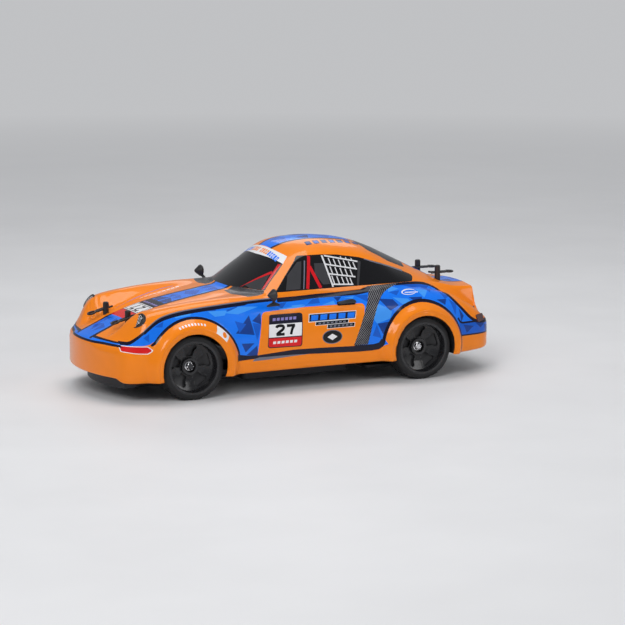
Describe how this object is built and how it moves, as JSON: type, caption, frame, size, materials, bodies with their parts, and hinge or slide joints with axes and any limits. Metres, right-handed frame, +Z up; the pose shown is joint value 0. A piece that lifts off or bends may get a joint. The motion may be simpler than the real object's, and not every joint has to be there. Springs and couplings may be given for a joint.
{
  "type": "remote control car",
  "caption": "Radio controlled 1:10 coupe race car: moulded body shell on a chassis tub with steered front wheels, sprung geared rear drive pod, battery bay and body clips.",
  "frame": {"origin": "on the ground under the middle of the bounding box", "axes": "+X towards the nose, +Y to the car's left, +Z up"},
  "size_m": [0.444, 0.1942, 0.1454],
  "materials": {
    "shell": "glossy painted plastic shell with a printed race livery",
    "lamp": "glossy black lens",
    "tail_lens": "glossy red lens",
    "black_plastic": "satin black moulded plastic",
    "dark_nylon": "glass filled nylon, fine grain",
    "white_nylon": "natural white acetal",
    "clip_wire": "black coated spring wire",
    "steel": "ground steel",
    "screw_steel": "black oxide steel",
    "nut_chrome": "bright plated",
    "brass_pinion": "machined brass",
    "bronze": "sintered bronze",
    "motor_steel": "zinc plated can",
    "battery_wrap": "heat shrink sleeve",
    "pcb": "solder mask and components",
    "switch_red": "red slider",
    "wheel_plastic": "gloss black moulded wheel",
    "tyre_rubber": "black rubber",
    "spring_red": "painted spring steel"
  },
  "bodies": {
    "chassis": {"body_shell": "shell", "headlight_left": "lamp", "headlight_right": "lamp", "tail_light_left": "tail_lens", "tail_light_right": "tail_lens", "mirror_left": "black_plastic", "mirror_right": "black_plastic", "chassis_tub": "dark_nylon", "electronics_cover": "black_plastic", "front_bumper": "dark_nylon", "rear_body_brace": "dark_nylon", "front_body_posts": "black_plastic", "rear_body_posts": "black_plastic", "battery_pack": "battery_wrap", "power_switch_body": "black_plastic", "receiver_board": "pcb", "antenna_wire": "black_plastic", "steering_servo": "black_plastic", "front_axle_block": "dark_nylon", "front_lower_arm": "dark_nylon", "front_upper_arm": "dark_nylon", "kingpins": "steel", "pod_pivot_pin": "steel", "rear_spring_left": "spring_red", "rear_spring_right": "spring_red", "chassis_screws": "screw_steel"},
    "knuckle_left": {"steering_knuckle_left": "dark_nylon", "front_wheel_nut_left": "nut_chrome"},
    "knuckle_right": {"steering_knuckle_right": "dark_nylon", "front_wheel_nut_right": "nut_chrome"},
    "front_wheel_left": {"wheel_front_left": "wheel_plastic", "tyre_front_left": "tyre_rubber", "front_wheel_bushes_left": "bronze"},
    "front_wheel_right": {"wheel_front_right": "wheel_plastic", "tyre_front_right": "tyre_rubber", "front_wheel_bushes_right": "bronze"},
    "steering_horn": {"servo_horn": "white_nylon"},
    "track_rod": {"tie_rod": "dark_nylon"},
    "rear_pod": {"rear_subframe": "dark_nylon", "gearbox_case_left": "dark_nylon", "gearbox_case_right": "dark_nylon", "drive_motor": "motor_steel", "compound_gear_pin": "steel", "rear_axle_bushes": "bronze"},
    "drive_axle": {"rear_axle": "steel", "axle_gear": "white_nylon", "rear_wheel_hexes": "steel", "rear_wheel_nuts": "nut_chrome", "wheel_rear_left": "wheel_plastic", "wheel_rear_right": "wheel_plastic", "tyre_rear_left": "tyre_rubber", "tyre_rear_right": "tyre_rubber"},
    "compound": {"compound_gear": "white_nylon"},
    "pinion": {"motor_pinion": "brass_pinion"},
    "door": {"battery_door": "black_plastic"},
    "switch_knob": {"power_switch_knob": "switch_red"},
    "clip_front_left": {"body_clip_front_left": "clip_wire"},
    "clip_front_right": {"body_clip_front_right": "clip_wire"},
    "clip_rear_left": {"body_clip_rear_left": "clip_wire"},
    "clip_rear_right": {"body_clip_rear_right": "clip_wire"}
  },
  "joints": [
    {"name": "steer_left", "type": "hinge", "parent": "chassis", "child": "knuckle_left", "pos_m": [0.134, 0.05, 0.0325], "axis": [0, 0, 1], "range_deg": [-22, 22]},
    {"name": "steer_right", "type": "hinge", "parent": "chassis", "child": "knuckle_right", "pos_m": [0.134, -0.05, 0.0325], "axis": [0, 0, 1], "range_deg": [-22.5, 22.5]},
    {"name": "horn_turn", "type": "hinge", "parent": "chassis", "child": "steering_horn", "pos_m": [0.094, 0, 0.028], "axis": [0, 0, 1], "range_deg": [-22.5, 22.5]},
    {"name": "track_rod_slide", "type": "slide", "parent": "chassis", "child": "track_rod", "axis": [0, 1, 0], "range_m": [-0.0078, 0.0078]},
    {"name": "wheel_spin_front_left", "type": "hinge", "parent": "knuckle_left", "child": "front_wheel_left", "pos_m": [0.134, 0.072, 0.0325], "axis": [0, 1, 0], "continuous": true},
    {"name": "wheel_spin_front_right", "type": "hinge", "parent": "knuckle_right", "child": "front_wheel_right", "pos_m": [0.134, -0.072, 0.0325], "axis": [0, 1, 0], "continuous": true},
    {"name": "pod_swing", "type": "hinge", "parent": "chassis", "child": "rear_pod", "pos_m": [-0.066, 0, 0.018], "axis": [0, 1, 0], "range_deg": [-3, 3], "stiffness_Nm_per_rad": 25, "deforming": ["rear_spring_left", "rear_spring_right"]},
    {"name": "axle_spin", "type": "hinge", "parent": "rear_pod", "child": "drive_axle", "pos_m": [-0.123, 0, 0.0325], "axis": [0, 1, 0], "continuous": true},
    {"name": "compound_spin", "type": "hinge", "parent": "rear_pod", "child": "compound", "pos_m": [-0.10248, 0.008, 0.03601], "axis": [0, 1, 0], "continuous": true},
    {"name": "pinion_spin", "type": "hinge", "parent": "rear_pod", "child": "pinion", "pos_m": [-0.08645, 0.004, 0.0335], "axis": [0, 1, 0], "continuous": true},
    {"name": "battery_door_hinge", "type": "hinge", "parent": "chassis", "child": "door", "pos_m": [0.0272, 0, 0.0095], "axis": [0, -1, 0], "range_deg": [0, 95], "stiffness_Nm_per_rad": 0.25},
    {"name": "power_switch_slide", "type": "slide", "parent": "chassis", "child": "switch_knob", "axis": [1, 0, 0], "range_m": [0, 0.004]},
    {"name": "clip_front_left_pull", "type": "slide", "parent": "chassis", "child": "clip_front_left", "axis": [0.9659, 0, -0.2588], "range_m": [0, 0.026], "stiffness_N_per_m": 20},
    {"name": "clip_front_right_pull", "type": "slide", "parent": "chassis", "child": "clip_front_right", "axis": [0.9659, 0, -0.2588], "range_m": [0, 0.026], "stiffness_N_per_m": 20},
    {"name": "clip_rear_left_pull", "type": "slide", "parent": "chassis", "child": "clip_rear_left", "axis": [-1, 0, 0], "range_m": [0, 0.026], "stiffness_N_per_m": 20},
    {"name": "clip_rear_right_pull", "type": "slide", "parent": "chassis", "child": "clip_rear_right", "axis": [-1, 0, 0], "range_m": [0, 0.026], "stiffness_N_per_m": 20}
  ],
  "couplings": [
    {"joint": "steer_right", "follows": "steer_left", "ratio": 1},
    {"joint": "horn_turn", "follows": "steer_left", "ratio": -1},
    {"joint": "track_rod_slide", "follows": "steer_left", "m_per_rad": -0.02},
    {"joint": "compound_spin", "follows": "axle_spin", "ratio": -2.7143},
    {"joint": "pinion_spin", "follows": "axle_spin", "ratio": 9.5}
  ]
}
